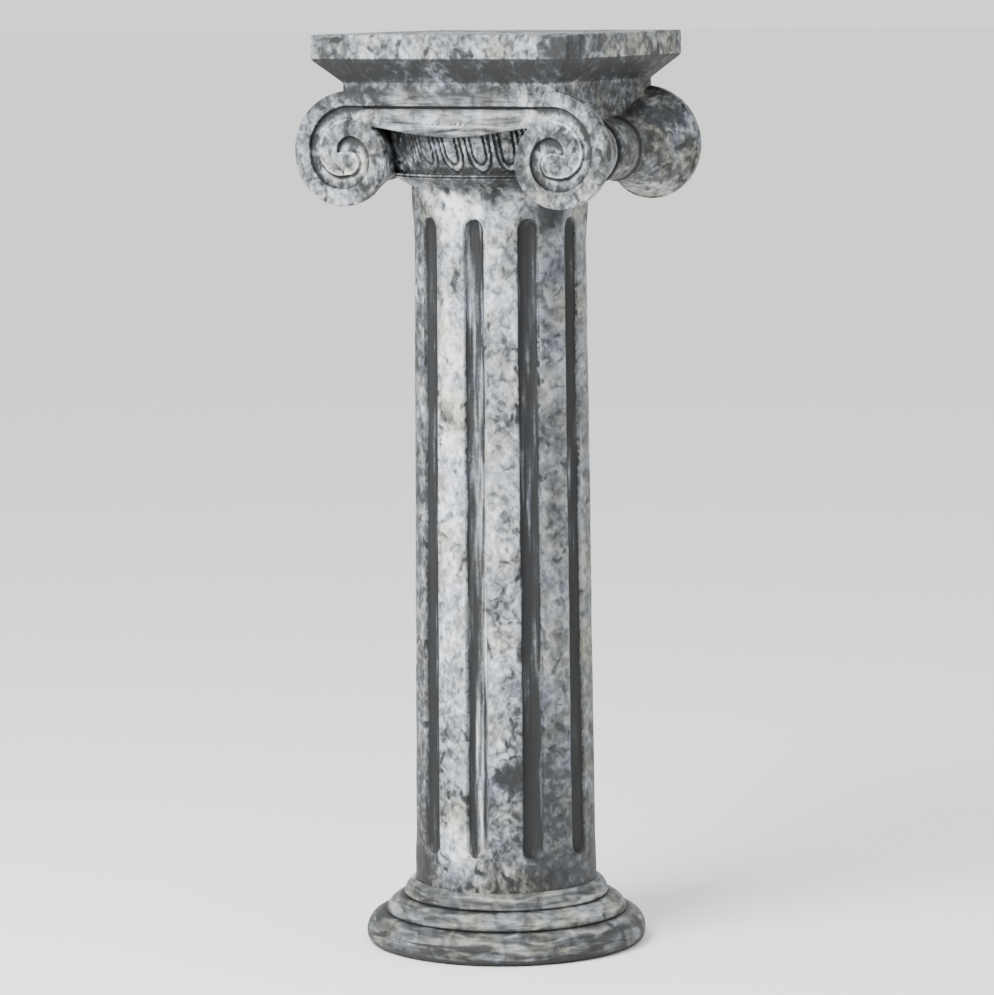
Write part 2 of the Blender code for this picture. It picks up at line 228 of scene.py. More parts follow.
def egg_relief(angle, z):
    """Height from 0 to 1. Below the egg's middle, distance is the ellipse's; above it, only across."""
    leaned = angle + EGG_LEAN * (z - 0.874)
    across = np.abs((leaned + EGG_PITCH / 2) % EGG_PITCH - EGG_PITCH / 2) / (EGG_PITCH / 2)
    up = (z - EGG_FOOT_Z) / 0.0380
    drop = np.clip((0.60 - up) / 0.60, 0, None)
    shell = np.sqrt(across ** 2 + (0.88 * drop) ** 2)
    egg = 0.55 + 0.45 * np.sqrt(np.clip(1 - (shell / 0.44) ** 2, 0, 1))
    relief = np.where(shell < 0.42, egg, 0.74)
    relief = relief - 0.62 * ridge(shell - 0.46, 0.085) - 0.66 * ridge(shell - 0.80, 0.085)
    between = smoothstep((shell - 0.84) / 0.10) * smoothstep((0.30 - up) / 0.2)
    return np.clip(relief - 0.60 * between, 0.05, 1)


def eggs_shown(angle):
    """1 on the front and back, where the eggs are carved, and 0 under the bolsters."""
    from_face = np.abs((angle + math.pi / 2) % math.pi - math.pi / 2)
    return smoothstep((3.5 * EGG_PITCH - from_face) / 0.02)


face_angles = np.linspace(-3.6, 3.6, 190) * EGG_PITCH
side_angles = np.linspace(3.6 * EGG_PITCH, math.pi - 3.6 * EGG_PITCH, 14)[1:-1]
half_ring = np.concatenate([face_angles, side_angles])
egg_angles = np.concatenate([half_ring, half_ring + math.pi])[None]
print(egg_angles.size, "angles around the egg ring")

# %% Turn the egg ring
bead_turn = np.linspace(0, 1, 9)
bead_z = CONE_TOP_Z + 0.0012 + (EGG_FOOT_Z - CONE_TOP_Z - 0.0012) * bead_turn
bead_radius = 0.1136 + 0.0016 * np.sin(bead_turn * math.pi)
egg_z = np.concatenate([np.linspace(EGG_FOOT_Z, 0.8965, 32)[1:], [0.8995, 0.9040, EGG_HEAD_Z]])
# The top of the ring is hidden by the plates, and drawn in so that it stays behind their channels.
behind_channel = 0.0052 * (egg_z > 0.9)
swell = np.sin((egg_z - EGG_FOOT_Z) / (EGG_HEAD_Z - EGG_FOOT_Z) * math.pi / 2)
egg_ground = 0.1142 + (0.1252 - 0.1142) * swell - EGG_RELIEF - behind_channel
carved = egg_relief(egg_angles, egg_z[:, None]) * eggs_shown(egg_angles)
plain = 0.35 * (1 - eggs_shown(egg_angles))
cone_radius = np.array([0.0966, 0.1128, 0.1141, 0.1145, 0.1139])[:, None]
cone_z = np.array([SHAFT_TOP_Z + 0.0002, 0.8447, CONE_TOP_Z - 0.0006, CONE_TOP_Z, 0.8470])[:, None]
# The first two rings lie inside the shaft, so that the forms overlap where they are united.
egg_rings = np.concatenate([
    turned(0.0930, egg_angles, np.array([[0.8127]])),
    turned(0.0930, egg_angles, np.array([[SHAFT_TOP_Z - 0.0004]])),
    turned(cone_radius, egg_angles, cone_z),
    turned(bead_radius[:, None], egg_angles, bead_z[:, None]),
    turned(egg_ground[:, None] + EGG_RELIEF * (carved + plain), egg_angles, egg_z[:, None]),
])
egg_ring = lofted("egg_ring", egg_rings)

# %% [markdown]
# ## The scrolls' spiral
# A volute is a flat band that winds in, with a channel sunk between its turns. The edge of the band is
# an Archimedean spiral: its radius shrinks evenly with the angle. Here the last half turn is drawn in to
# a round tongue, the eye of the volute, and the channel widens into a hollow over it. Everything is told
# in turns from the top, running outwards first.

# %% Spiral edges
BAND = 0.0179                # width of the flat band on the outer side
BAND_TOP = 0.0155            # its width along the top
EYE_RADIUS = 0.0152
EYE_BLEND = 0.0060
TONGUE_DRAW = 0.0034         # how far the last half turn is drawn in
CORE_RADIUS = 0.0070         # a circle in the flat of the eye, where the spiral grid ends
CURL = 0.0180                # how fast the channel's outer wall curls in at its end


def spiral_edge(turns):
    """Smooth maximum of a radius that falls evenly and the radius of the eye."""
    free = SPIRAL_START - SPIRAL_STEP * turns
    return 0.5 * (free + EYE_RADIUS + np.sqrt((free - EYE_RADIUS) ** 2 + EYE_BLEND ** 2))


def turn_edge(turns):
    """The spiral edge, drawn in from 1.2 turns on, and led evenly to the core circle by 2 turns."""
    edge = spiral_edge(turns) - TONGUE_DRAW * smoothstep((turns - 1.2) / 0.3)
    return edge + (CORE_RADIUS - edge) * np.clip((turns - 1.55) / 0.45, 0, 1)


def band_edge(turns):
    """Inner edge of the band, where the channel starts: a band's width inside the spiral edge."""
    width = BAND_TOP + (BAND - BAND_TOP) * smoothstep(turns / 0.25)
    return spiral_edge(turns) - width - CURL * np.maximum(turns - 0.97, 0)


# %% [markdown]
# ## Depth of the channel
# The channel is a depth over the face, worked out from distances: how far a point lies inside the band's
# inner edge, and how far outside the next turn or the tongue. A steep smoothstep over each distance makes
# the two walls, and the floor between them slopes up inwards. One function gives the depth anywhere, so
# the scrolls and the straight part between them can't disagree.

# %% Channel depth and the fillet's edges
CHANNEL_DEPTH = 0.0060
WALL = 0.0019                # width of the channel's walls
SLOPED = 0.45                # how much shallower the floor is at its inner edge
FILLET_END = 0.0926          # where the fillet leaves the scroll
TONGUE_A = (-0.0030, -0.0078)
TONGUE_B = (0.0090, -0.0095)
TONGUE_RADIUS = 0.0124


def fillet_rise(x):
    """Rise of the fillet from its middle, 0 to 1: halfway between a parabola and a smoothstep."""
    share = np.clip(np.abs(x) / FILLET_END, 0, 1)
    return 0.5 * share ** 2 + 0.5 * smoothstep(share)


def fillet_foot(x):
    """Lower edge of the fillet."""
    return 0.8904 + 0.0110 * fillet_rise(x)


def fillet_head(x):
    """Its top edge, which is the channel's lower edge, led over to the spiral's second turn."""
    sagging = 0.9024 + 0.0046 * fillet_rise(x)
    share = smoothstep((np.abs(x) - FILLET_END) / (SCROLL_X - FILLET_END))
    return sagging + (SCROLL_Z + spiral_edge(1.0) - sagging) * share


def tongue_distance(x, z):
    """Distance outside a capsule, the set of points within a radius of one short line."""
    ax, az = TONGUE_A
    dx, dz = TONGUE_B[0] - ax, TONGUE_B[1] - az
    along = np.clip(((x - ax) * dx + (z - az) * dz) / (dx * dx + dz * dz), 0, 1)
    return np.hypot(x - ax - along * dx, z - az - along * dz) - TONGUE_RADIUS


def walled(outer, inner, facing):
    """Depth from the distances to both edges: a smoothstep at each wall and a floor sloped between."""
    width = np.maximum(outer + inner, 1e-6)
    floor = 1 - SLOPED * smoothstep(outer / width)
    return CHANNEL_DEPTH * smoothstep(outer / WALL) * smoothstep(inner / WALL) * floor


def over_channel(x, z, profile):
    """The profile at any x and z of the face, mirrored left and right.

    profile takes the distances to the outer and the inner edge, and 1 to -1 for how far the outer wall
    faces down.
    """
    px = np.abs(x) - SCROLL_X
    pz = z - SCROLL_Z
    radius = np.hypot(px, pz)
    turns = np.arctan2(px, pz) / TURN % 1.0
    facing = pz / np.maximum(radius, 1e-6)
    tongue = tongue_distance(px, pz)
    share = smoothstep((turns - 0.44) / 0.12)
    inner = (radius - turn_edge(1 + turns)) * (1 - share) + tongue * share
    first = profile(band_edge(turns) - radius, inner, facing)
    second = np.where(turns < 0.3, profile(band_edge(1 + turns) - radius, tongue, facing), 0)
    scroll = np.maximum(first, second)
    straight = profile(SCROLL_Z + band_edge(0.0) - z, z - fillet_head(x), 1.0)
    between = (px < 0) & (z > fillet_head(x) - 0.0001)
    return np.where(between, straight, np.where((px < 0) & (radius > turn_edge(turns)), 0, scroll))


# %% [markdown]
# ## The grid that follows the spiral
# A square grid would cut the channel's walls into steps. This grid follows them. Each column runs
# across one turn, from the edge of the band to the edge of the next turn in, so the last point of a
# column is the first point of the column one turn later, and two turns close up like a spiral stair.
# The columns of the straight part run from the top band down to the fillet's foot.

# %% Stations across a column
STEPS = 96                   # columns in one turn
BAND_STEPS = np.array([0, 0.02, 0.05, 0.09, 0.16, 0.5, 1.0])
WALL_STEPS = np.linspace(0, 1, 6)[1:]
FLOOR_STEPS = np.linspace(0, 1, 10)[1:]


def across_column(outer, channel_top, inner):
    """Places along a column from the outer edge to the inner one, close together on rim and walls.

    The marks between the sets of steps are shares of the column, kept in order where there is no channel.
    """
    width = outer - inner + 1e-12
    band_foot = np.clip((outer - channel_top - 0.0005) / width, 0.10, 0.75)
    wall_foot = np.clip((outer - channel_top + WALL + 0.0004) / width, band_foot + 0.03, 0.85)
    far_wall = np.clip(1 - (WALL + 0.0004) / width, wall_foot + 0.03, 0.97)
    marks = [np.zeros_like(outer), band_foot, wall_foot, far_wall, np.ones_like(outer)]
    pieces = []
    for start, end, steps in zip(marks, marks[1:], (BAND_STEPS, WALL_STEPS, FLOOR_STEPS, WALL_STEPS)):
        pieces.append(start[:, None] + (end - start)[:, None] * steps)
    shares = np.concatenate(pieces, axis=1)
    return outer[:, None] + (inner - outer)[:, None] * shares


turns = np.arange(2 * STEPS + 1) / STEPS
radii = across_column(turn_edge(turns), band_edge(turns), turn_edge(turns + 1))
scroll_x = SCROLL_X + radii * np.sin(TURN * turns)[:, None]
scroll_z = SCROLL_Z + radii * np.cos(TURN * turns)[:, None]
core_turns = np.arange(STEPS) / STEPS
core_radii = CORE_RADIUS * np.linspace(1, 0, 13)[:-1]
core_x = SCROLL_X + core_radii[:, None] * np.sin(TURN * core_turns)
core_z = SCROLL_Z + core_radii[:, None] * np.cos(TURN * core_turns)
print("columns by points in one scroll:", radii.shape)

# %% Columns between the scrolls
shared = np.arange(STEPS, round(0.875 * STEPS) - 1, -1) / STEPS
shared_x = SCROLL_X + turn_edge(shared) * np.sin(TURN * shared)
shared_foot = SCROLL_Z + turn_edge(shared) * np.cos(TURN * shared)
inner_x = np.linspace(shared_x[-1], 0, 44)[1:]
half_x = np.concatenate([shared_x, inner_x])
half_foot = np.concatenate([shared_foot, fillet_foot(inner_x)])
middle_x = np.concatenate([half_x, -half_x[-2::-1]])
middle_foot = np.concatenate([half_foot, half_foot[-2::-1]])
top_z = np.full_like(middle_x, SCROLL_Z + turn_edge(np.array(0.0)))
head_z = np.maximum(fillet_head(middle_x), middle_foot)
middle_z = across_column(top_z, top_z - BAND_TOP, head_z)
fillet_steps = np.array([0.1, 0.22, 0.4, 0.6, 0.8, 0.9, 0.96, 1.0])
fillet_z = head_z[:, None] + (middle_foot - head_z)[:, None] * fillet_steps
middle_z = np.concatenate([middle_z, fillet_z], axis=1)
middle_x = np.broadcast_to(middle_x[:, None], middle_z.shape)
print("columns by points between the scrolls:", middle_z.shape)

# %% [markdown]
# ## Relief of the face
# Three things move a point of the face in or out: the channel, the rounded free rim, and the small
# swells of the eye and the fillet. The rim's round is a quarter circle in the distance to the rim. It
# fades out where the rim runs into a neighbour, so that the edges of the patches meet exactly.

# %% Depth of every point of the face
RIM_ROUND = 0.0018
FILLET_PROUD = 0.0009
EYE_SWELL = 0.0009


def rim_setback(distance):
    """Quarter circle: the full radius at the rim, nothing one radius away from it."""
    reach = np.clip(RIM_ROUND - distance, 0, RIM_ROUND)
    return RIM_ROUND - np.sqrt(RIM_ROUND ** 2 - reach ** 2)


def swell_out(x, z):
    """How far the eye's tongue swells out of the face."""
    return EYE_SWELL * smoothstep(-tongue_distance(np.abs(x) - SCROLL_X, z - SCROLL_Z) / 0.009)


free_rim = smoothstep(turns / 0.03) * smoothstep((0.875 - turns) / 0.035)
scroll_depth = over_channel(scroll_x, scroll_z, walled) - swell_out(scroll_x, scroll_z)
scroll_depth = scroll_depth + rim_setback(radii[:, :1] - radii) * free_rim[:, None]
core_depth = over_channel(core_x, core_z, walled) - swell_out(core_x, core_z)

free_foot = smoothstep((shared_x[-1] - np.abs(middle_x)) / 0.006)
below_head = smoothstep((head_z[:, None] - middle_z) / 0.0012)
middle_depth = over_channel(middle_x, middle_z, walled)
middle_depth = middle_depth - FILLET_PROUD * below_head * free_foot
middle_depth = middle_depth + rim_setback(middle_z - middle_foot[:, None]) * free_foot
print("deepest point of the channel:", round(float(scroll_depth.max()) * 1000, 2), "mm")

# %% Patches of one face, joined into a plate
PLATE_THICKNESS = 0.0100


def face_patches():
    """Points (x, depth, z) and quads of both scrolls, both eye cores and the straight part."""
    points = []
    faces = []
    count = 0
    for mirror in (1, -1):
        patch = np.stack([mirror * scroll_x, scroll_depth, scroll_z], axis=-1)
        core = np.stack([mirror * core_x, core_depth, core_z], axis=-1)
        pole = np.array([[mirror * SCROLL_X, core_depth[-1].mean(), SCROLL_Z]])
        for grid, closed in ((patch, False), (core, True)):
            points.append(grid.reshape(-1, 3))
            faces += (grid_faces(*grid.shape[:2], closed) + count).tolist()
            count += grid.shape[0] * grid.shape[1]
        ring = count - STEPS + np.arange(STEPS)
        fan = np.stack([ring, np.roll(ring, -1), np.full(STEPS, count)], axis=-1)
        points.append(pole)
        faces += fan.tolist()
        count += 1
    middle = np.stack([middle_x, middle_depth, middle_z], axis=-1)
    points.append(middle.reshape(-1, 3))
    faces += (grid_faces(*middle.shape[:2], False) + count).tolist()
    return np.concatenate(points), faces


def scroll_plate(name, side):
    """Weld the patches, pull their free rim back to the plate's thickness and close it behind."""
    points, faces = face_patches()
    points[:, 1] = side * (BLOCK_HALF - points[:, 1])
    plate = new_piece(name, points, faces)
    work = bmesh.new()
    work.from_mesh(plate.data)
    bmesh.ops.remove_doubles(work, verts=work.verts, dist=0.000001)
    rim = [edge for edge in work.edges if edge.is_boundary]
    pulled = bmesh.ops.extrude_edge_only(work, edges=rim)["geom"]
    moved = [item for item in pulled if isinstance(item, bmesh.types.BMVert)]
    flatten = Matrix.Diagonal((1.0, 0.0, 1.0, 1.0))
    flatten[1][3] = side * (BLOCK_HALF - PLATE_THICKNESS)
    bmesh.ops.transform(work, matrix=flatten, verts=moved)
    back = [edge for edge in work.edges if edge.is_boundary]
    bmesh.ops.contextual_create(work, geom=back)
    bmesh.ops.recalc_face_normals(work, faces=work.faces)
    open_edges = sum(edge.is_boundary or not edge.is_manifold for edge in work.edges)
    work.to_mesh(plate.data)
    work.free()
    print(name, len(plate.data.vertices), "points,", len(rim), "on the rim,", open_edges, "open edges")
    return plate


front_plate = scroll_plate("front_plate", -1)
back_plate = scroll_plate("back_plate", 1)

# %% [markdown]
# ## Bolsters
# From the side, a scroll is the end of a rolled bolster that narrows to a belt between two beads. Its
# section is the scroll's own outline, closed smoothly where the spiral starts, so it is one outline
# carried along Y and scaled by a size that depends on the place. The larger of the cone's size and the
# bead's size makes the beads.

# %% Size along the bolster, and the two bolsters
CONE_START = 0.1167
BEAD_Y = 0.027
BEAD_HALF = 0.003


def bolster_size(y):
    """Share of the scroll's outline: a straight cone to the neck, a belt, and a round bead between."""
    place = np.abs(y)
    cone = 0.50 + (0.97 - 0.50) * (place - 0.030) / (CONE_START - 0.030)
    belt = np.where(place < 0.0275, 0.54, 0)
    bead = 0.52 + 0.06 * ridge(place - BEAD_Y, BEAD_HALF)
    bead = np.where(np.abs(place - BEAD_Y) < BEAD_HALF, bead, 0)
    return np.maximum.reduce([cone, belt, bead])


bead_steps = BEAD_Y + BEAD_HALF * np.sin(np.linspace(-1, 1, 13) * math.pi / 2)
half_places = np.concatenate([np.linspace(0, 0.0236, 4), bead_steps, np.linspace(0.0304, 0.1227, 16)])
places = np.concatenate([-half_places[:0:-1], half_places])
section_turns = np.arange(STEPS) / STEPS
close = smoothstep((section_turns - 0.875) / 0.125)
section = spiral_edge(section_turns) * (1 - close) + spiral_edge(0.0) * close
size = bolster_size(places)[:, None]
bolsters = []
for mirror, name in ((1, "right_bolster"), (-1, "left_bolster")):
    x = mirror * (SCROLL_X + size * section * np.sin(TURN * section_turns))
    z = SCROLL_Z + size * section * np.cos(TURN * section_turns)
    y = np.broadcast_to(places[:, None], x.shape)
    bolsters.append(lofted(name, np.stack([x, y, z], axis=-1)))

# %% [markdown]
# ## Block and top slab
# A square block stands between the scroll plates and carries a square slab on a slope. It is a loft of
# rounded squares. The arrises are small arcs in the profile rather than a Bevel modifier, because the
# block is later united with the scrolls, and a bevel would also round the seams of that union. Behind
# the plates the block is drawn back, so that it doesn't fill the channels sunk in them.

# %% Rounded squares from the block up to the top
CORNER = 0.0032


def square_ring(half, z, set_back=0.0, side_steps=22, corner_steps=6):
    """A rounded square at height z, its front and back drawn in by set_back, as one ring of points."""
    straight = np.linspace(-1, 1, side_steps)[1:-1] * (half - CORNER)
    arc = np.linspace(0, math.pi / 2, corner_steps)
    side = np.stack([np.full_like(straight, half), straight], axis=-1)
    corner = (half - CORNER) + CORNER * np.stack([np.cos(arc), np.sin(arc)], axis=-1)
    quarter = np.concatenate([side, corner])
    ring = []
    for turn in range(4):
        c, s = (1, 0, -1, 0)[turn], (0, 1, 0, -1)[turn]
        ring.append(quarter @ np.array([[c, s], [-s, c]]))
    ring = np.concatenate(ring) * [1, (half - set_back) / half]
    return np.concatenate([ring, np.full((len(ring), 1), z)], axis=1)


SLAB_HALF = 0.1516
EDGE_Z = 0.9732
BLOCK_TOP_Z = 0.9485
EDGE_ROUND = 0.0030          # round of the slab's lower edge
TOP_ROUND = 0.0024           # and of its upper edge
round_steps = np.linspace(0, 1, 6)
lower = np.radians(-45 + 45 * round_steps)
upper = np.radians(90 * round_steps)
block_profile = [(BLOCK_HALF - 0.0004, z) for z in (0.9384, 0.9430, BLOCK_TOP_Z - 0.0008)]
block_profile += [(BLOCK_HALF + (SLAB_HALF - BLOCK_HALF) * s, BLOCK_TOP_Z + (EDGE_Z - BLOCK_TOP_Z) * s)
                  for s in (0.02, 0.25, 0.5, 0.75, 0.93)]
block_profile += [(SLAB_HALF - EDGE_ROUND + EDGE_ROUND * math.cos(a),
                   EDGE_Z + 0.0022 + EDGE_ROUND * math.sin(a)) for a in lower]
block_profile += [(SLAB_HALF, EDGE_Z + 0.0022 + s * 0.0066) for s in (1.0, 2.0)]
block_profile += [(SLAB_HALF - TOP_ROUND + TOP_ROUND * math.cos(a),
                   HEIGHT - TOP_ROUND + TOP_ROUND * math.sin(a)) for a in upper]
block_profile += [(SLAB_HALF - TOP_ROUND - d, HEIGHT) for d in (0.010, 0.060, 0.110)]
behind_plates = [square_ring(BLOCK_HALF - 0.0004, z, 0.0075) for z in (0.9023, 0.915, 0.927, 0.938)]
block_rings = behind_plates + [square_ring(half, z) for half, z in block_profile]
block = lofted("block_and_slab", np.array(block_rings))

# %% [markdown]
# ## One casting
# The forms overlap, as clay parts do before the mould is taken. Boolean unions leave only the outer
# skin, so that the column is one closed surface like the real casting. The Manifold solver is used
# because all the parts are closed, and it is quick on fine meshes.

# %% Unite the forms
for form in (egg_ring, block, *bolsters, front_plate, back_plate):
    step = column.modifiers.new(form.name, 'BOOLEAN')
    step.operation = 'UNION'
    step.solver = 'MANIFOLD'
    step.object = form
depsgraph = bpy.context.evaluated_depsgraph_get()
casting = bpy.data.meshes.new_from_object(column.evaluated_get(depsgraph))
column.modifiers.clear()
column.data = casting
for form in (egg_ring, block, *bolsters, front_plate, back_plate):
    bpy.data.objects.remove(form)
skin = bmesh.new()
skin.from_mesh(casting)
bmesh.ops.triangulate(skin, faces=[face for face in skin.faces if len(face.verts) > 4])
loose = sum(edge.is_boundary for edge in skin.edges)
skin.to_mesh(casting)
skin.free()
casting.calc_loop_triangles()
print("casting:", len(casting.loop_triangles), "triangles,", loose, "open edges")

# %% [markdown]
# ## A hand's unevenness
# A plaster cast that was sanded and painted by hand isn't perfectly true. A slow wave, made of a few
# sines over the whole body, keeps long highlights from looking machined. It moves points sideways only,
# by little more than half a millimetre, so the column keeps its height and its flat foot.

# %% Warp the skin and shade it smooth
UNEVENNESS = 0.0006          # the most the wave can move a point along X or Y


def slow_wave(points, seed):
    """Sum of six sines with wavelengths of 35 to 110 mm in directions picked by the seed."""
    chosen = np.random.default_rng(seed)
    total = np.zeros(len(points))
    for length in np.linspace(0.035, 0.110, 6):
        direction = chosen.normal(size=3)
        direction /= np.linalg.norm(direction)
        total += np.sin(points @ direction * TURN / length + chosen.uniform(0, TURN))
    return total / 6


flat = np.empty(len(casting.vertices) * 3, np.float32)
casting.vertices.foreach_get("co", flat)
skin_points = flat.reshape(-1, 3).astype(float)
true_points = skin_points.copy()
skin_points[:, 0] += UNEVENNESS * slow_wave(true_points, 3)
skin_points[:, 1] += UNEVENNESS * slow_wave(true_points, 4)
casting.vertices.foreach_set("co", skin_points.astype(np.float32).ravel())
casting.shade_smooth()
casting.set_sharp_from_angle(angle=math.radians(42))
even = column.modifiers.new("face_weighted_shading", 'WEIGHTED_NORMAL')
even.keep_sharp = True
print("largest sideways move:", round(float(np.abs(skin_points - true_points).max()) * 1000, 2), "mm")

# %% [markdown]
# ## Where the painter's brush went, and painted light and shade
# The finish is paint over a charcoal undercoat. Light greys were sponged and dragged over it, and they
# missed the flutes and caught some of the raised edges. Painted shade and painted highlights are laid
# over that. The mesh carries all this as numbers on its points. The first mask is painted shade at the
# feet of the channel's walls and in grooves and creases, light how much more or less paint a place got
# together with painted shade and painted highlights, the third how far its greys turn olive and darker,
# the darkening on the right and on the base being painted shade, even how much flatter the paint is,
# and fluted and ringed say which way the brush was dragged.

# %% Dirt in the recesses, light paint on the raised edges
x, y, z = true_points.T
angle = np.arctan2(x, -y)
radius = np.hypot(x, y)


def near(value, centre, width):
    """A bell: 1 at the centre, falling off with the square of the distance over the width."""
    return np.exp(-((value - centre) / width) ** 2)


def channel_shade(outer, inner, facing):
    """Painted shade in the channel, from 0 to 1: most at the foot of a wall that faces down, in its
    shadow.
    """
    outer_wall = (0.78 + 0.26 * facing) * near(outer, WALL, 0.0014)
    inner_wall = (0.45 - 0.50 * facing) * near(inner, 0.0016, 0.0010 + 0.0009 * np.clip(-facing, 0, 1))
    return np.where((outer > 0) & (inner > -0.0004), np.maximum(outer_wall, inner_wall), 0)


def edge_paint_and_highlight(outer, inner, facing):
    """Dry-brushed paint and a painted highlight on the raised edge of the next turn in, and half as much
    painted light on the floor.
    """
    floor = 0.5 * smoothstep((outer - 0.0025) / 0.0025) * (inner > -0.0004)
    return np.where(outer > 0, np.maximum(near(inner, -0.0008, 0.0018), floor), 0)


on_shaft = (z > SHAFT_FOOT_Z) & (z < SHAFT_TOP_Z) & (radius < 0.105)
in_flute = np.where(on_shaft, flute_share(angle, z), 0)
SPILL = 0.017                # radians: 1.7 mm of undercoat past a flute's edge
beside = np.where(on_shaft, np.maximum(flute_share(angle - SPILL, z), flute_share(angle + SPILL, z)), 0)
on_face = (np.abs(y) > BLOCK_HALF - CHANNEL_DEPTH - 0.001) & (z < 0.935)
# Painted shade at the feet of the channel's walls, most where a wall faces down and shades the floor.
channel_wall_shade = np.where(on_face, over_channel(x, z, channel_shade), 0)
# Painted shade in the grooves of the egg ring, half as strong on the left eggs, which are darkened as a
# whole further on.
on_eggs = (z > EGG_FOOT_Z) & (z < 0.905) & (radius < 0.127) & (np.abs(y) < 0.1262) & (np.abs(y) > 0.05)
left_eggs_in_shade = on_eggs * smoothstep((0.01 - x) / 0.05) * (y < 0)
egg_groove_shade = np.where(on_eggs, smoothstep((0.62 - egg_relief(angle, z)) / 0.5), 0) * (1 - 0.5 * left_eggs_in_shade)
# Painted shade in the creases beside the beads and on the cone under them, in the grooves between the
# base's rings and round the foot where it meets the floor, and in the creases of the bolsters' belts.
bead_crease_shade = near(z, CONE_TOP_Z + 0.0012, 0.0007) + near(z, EGG_FOOT_Z, 0.0008) + near(z, 0.8425, 0.0022)
bead_crease_shade = 0.7 * np.where((radius < 0.116) & (z < 0.86) & (radius > 0.098), bead_crease_shade, 0)
ring_groove_shade = 0.8 * near(z, TORUS_Z - 0.0004, 0.0012) + 0.8 * near(z, MIDDLE_Z - 0.0004, 0.0011)
ring_groove_shade = np.where(radius < 0.153, ring_groove_shade, 0) + near(z, 0.0, 0.004)
on_bolster = (np.abs(y) < BLOCK_HALF - PLATE_THICKNESS) & (np.abs(x) > 0.128) & (z < 0.945)
belt_crease_shade = np.where(on_bolster, near(np.abs(y), 0.0236, 0.0011) + near(np.abs(y), 0.0306, 0.0014), 0)
# All the painted shade of the channels, grooves and creases in one mask.
painted_recess_shade = np.maximum.reduce([channel_wall_shade, 0.7 * egg_groove_shade, bead_crease_shade, 0.8 * ring_groove_shade, 0.6 * belt_crease_shade])
# Dry-brushed paint and a painted highlight on the raised edges of the scrolls, and painted light on the
# channel floor.
edges = np.where(on_face, over_channel(x, z, edge_paint_and_highlight), 0)

# %% Lighter and darker places
land_angles = [-180, -65, -46, -28, -10.5, 8, 25.5, 43, 61.5, 80, 97.5, 120, 180]
land_light = [-0.06, -0.10, -0.15, 0.02, 0.23, 0.06, 0.09, 0.02, -0.07, 0.06, -0.03, -0.05, -0.06]
# The shaft: each land has its own tone, the front flute is lighter, and the foot is darker.
light = np.interp(np.degrees(angle), land_angles, land_light) * on_shaft
light += 0.19 * in_flute * near(angle, math.radians(7.5), 0.2)
light -= 0.19 * smoothstep((0.30 - z) / 0.18) * on_shaft
light += 0.08 * near(angle, math.radians(-10.5), 0.17) * smoothstep((z - 0.35) / 0.15) * on_shaft
# The heads of the flutes are dark, and a light streak runs down the right side of the front flute.
light -= 0.22 * in_flute * near(z, FLUTE_HEAD_Z - 0.02, 0.035)
light -= 0.05 * in_flute * near(angle, math.radians(43.5), 0.2)
light += 0.24 * near(angle, math.radians(11.5), 0.04) * smoothstep((z - 0.40) / 0.1) * on_shaft
# The capital is darker than the shaft, and the slope under the slab is the darkest of all, partly
# by its own dark paint and partly as painted shade on a face that looks down.
light -= 0.09 * (z > SHAFT_TOP_Z) * (1 - on_eggs)
light -= 0.38 * smoothstep((z - 0.9482) / 0.0015) * smoothstep((0.9750 - z) / 0.0015)
# The base darkens towards the floor, painted shade darkens the lowest ring's underside, and the foot
# of its middle ring is lighter.
light -= 0.08 * smoothstep((0.11 - z) / 0.03)
light -= 0.15 * smoothstep((0.022 - z) / 0.014)
light += 0.07 * near(z, TORUS_Z + 0.010, 0.006)
# Painted shade: the right side of the capital, away from the light, the left eggs in the left
# scroll's shadow and the hollows over the eyes are darker. The block's top under the slab is darker too.
light -= 0.09 * smoothstep((x + 0.6 * y - 0.06) / 0.08) * (z > SHAFT_TOP_Z) * (z < 0.948)
light -= 0.13 * smoothstep((z - 0.930) / 0.005) * smoothstep((0.9482 - z) / 0.001)
light -= 0.22 * left_eggs_in_shade
hollow = np.hypot(np.abs(x) - SCROLL_X + 0.0025, z - SCROLL_Z - 0.0130)
light -= 0.24 * on_face * near(hollow, 0, 0.0085)
# Raised edges get light dry-brushed paint and a painted highlight, and the channel floor painted
# light, but only a little so in the straight part of the channel.
straight_part = smoothstep((0.095 - np.abs(x)) / 0.03) * smoothstep((0.944 - z) / 0.01) * (y * y > 0.0134)
straight_part = straight_part * (z > 0.885)
light += 0.24 * edges * (1 - 0.75 * straight_part)

# Daubs that catch the eye: angle in degrees, height, radius and strength on the shaft, and on the front
# of the capital the place along X instead of the angle. The dark daub at 21 degrees under the egg ring is
# partly painted shade under the ring's cone.
shaft_daubs = ((-9, 0.817, 0.026, 0.12), (21, 0.834, 0.013, -0.45), (-13, 0.584, 0.009, -0.50),
               (25, 0.602, 0.020, -0.16), (58, 0.678, 0.010, -0.30), (-11, 0.234, 0.013, -0.35),
               (25, 0.373, 0.016, -0.18), (30, 0.200, 0.015, -0.60), (61, 0.810, 0.018, -0.25),
               (-4, 0.120, 0.030, 0.22), (28, 0.095, 0.014, 0.25))
front_daubs = ((-0.083, 0.986, 0.017, 0.20), (-0.003, 0.986, 0.014, 0.14), (0.019, 0.984, 0.009, -0.25),
               (0.037, 0.988, 0.012, 0.25), (0.142, 0.986, 0.013, -0.42), (-0.008, 0.957, 0.014, 0.42),
               (0.043, 0.962, 0.012, 0.26), (-0.060, 0.984, 0.009, -0.18), (0.085, 0.932, 0.016, 0.14),
               (-0.060, 0.934, 0.020, 0.16), (-0.135, 0.872, 0.050, 0.08))
